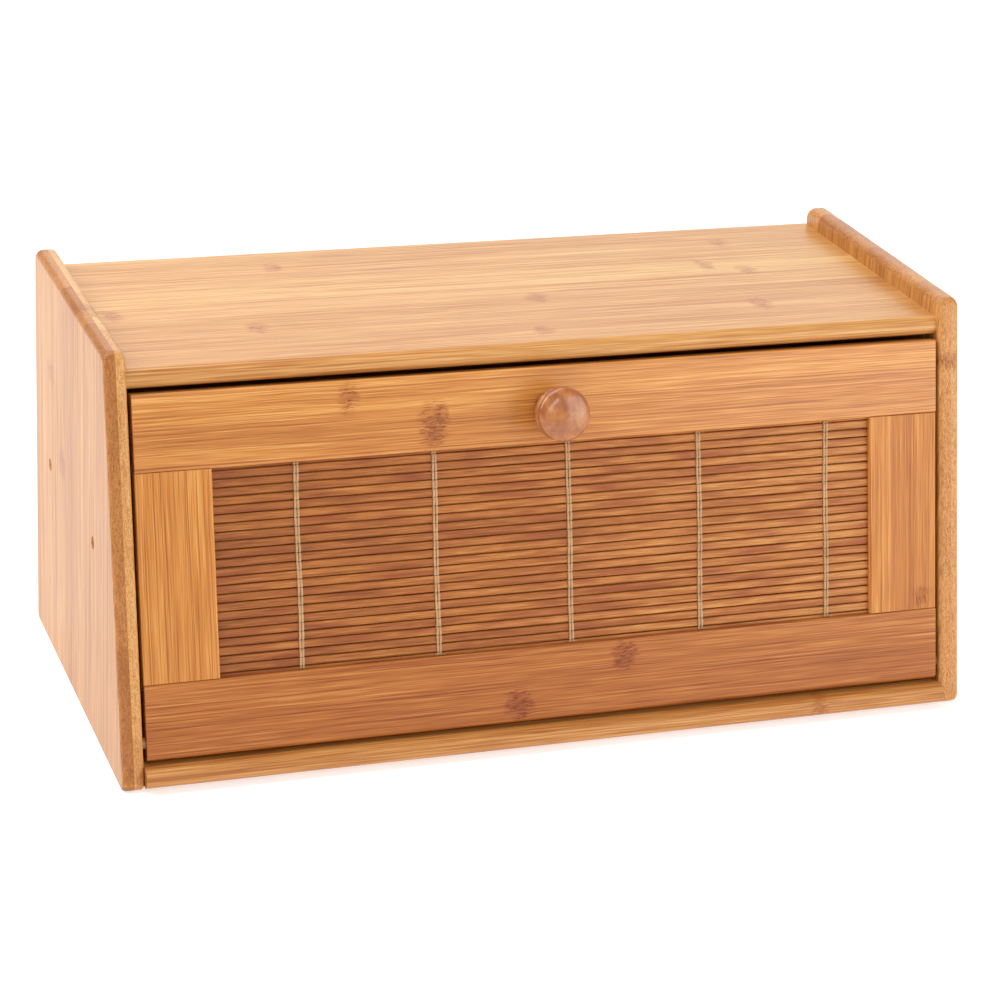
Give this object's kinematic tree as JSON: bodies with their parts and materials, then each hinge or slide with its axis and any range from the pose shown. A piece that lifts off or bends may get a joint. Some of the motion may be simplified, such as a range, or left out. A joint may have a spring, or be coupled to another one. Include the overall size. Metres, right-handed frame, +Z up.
{
  "type": "bread box",
  "caption": "Bamboo bread box: two side panels, boards between them, and a leaning framed slat-mat door that drops forward on dowel pins, with a turned knob.",
  "frame": {"origin": "middle of the footprint on the worktop: halfway across the width and halfway from the base board's nose to the back edges, at the underside of the side panels", "axes": "+X to the viewer's right along the width, +Y from the door to the back, +Z up"},
  "size_m": [0.402, 0.196, 0.188],
  "materials": {
    "side_bamboo": "vertical-grain laminated bamboo, pale, satin lacquer",
    "board_bamboo": "laminated bamboo along the width, satin lacquer",
    "door_bamboo": "honey-coloured laminated bamboo, satin lacquer",
    "back_bamboo": "thin bamboo board, matt",
    "slat_bamboo": "split bamboo slats, reddish brown, satin",
    "mat_thread": "undyed twisted cotton",
    "knob_wood": "turned and lacquered",
    "dowel_wood": "plain dowel rod",
    "screw_steel": "zinc-plated"
  },
  "bodies": {
    "case": {"left_side_panel": "side_bamboo", "right_side_panel": "side_bamboo", "top_board": "board_bamboo", "base_board": "board_bamboo", "back_panel": "back_bamboo", "top_dowels": "dowel_wood", "base_dowels": "dowel_wood", "left_stop_peg": "dowel_wood", "right_stop_peg": "dowel_wood", "left_hinge_pin": "dowel_wood", "right_hinge_pin": "dowel_wood"},
    "door": {"door_top_rail": "door_bamboo", "door_bottom_rail": "door_bamboo", "door_left_stile": "door_bamboo", "door_right_stile": "door_bamboo", "mat_backing": "back_bamboo", "mat_slats": "slat_bamboo", "mat_front_threads": "mat_thread", "mat_back_threads": "mat_thread", "knob": "knob_wood", "knob_screw": "screw_steel"}
  },
  "joints": [
    {"name": "door_hinge", "type": "hinge", "parent": "case", "child": "door", "pos_m": [0, -0.08527, 0.01944], "axis": [1, 0, 0], "range_deg": [0, 100]}
  ]
}
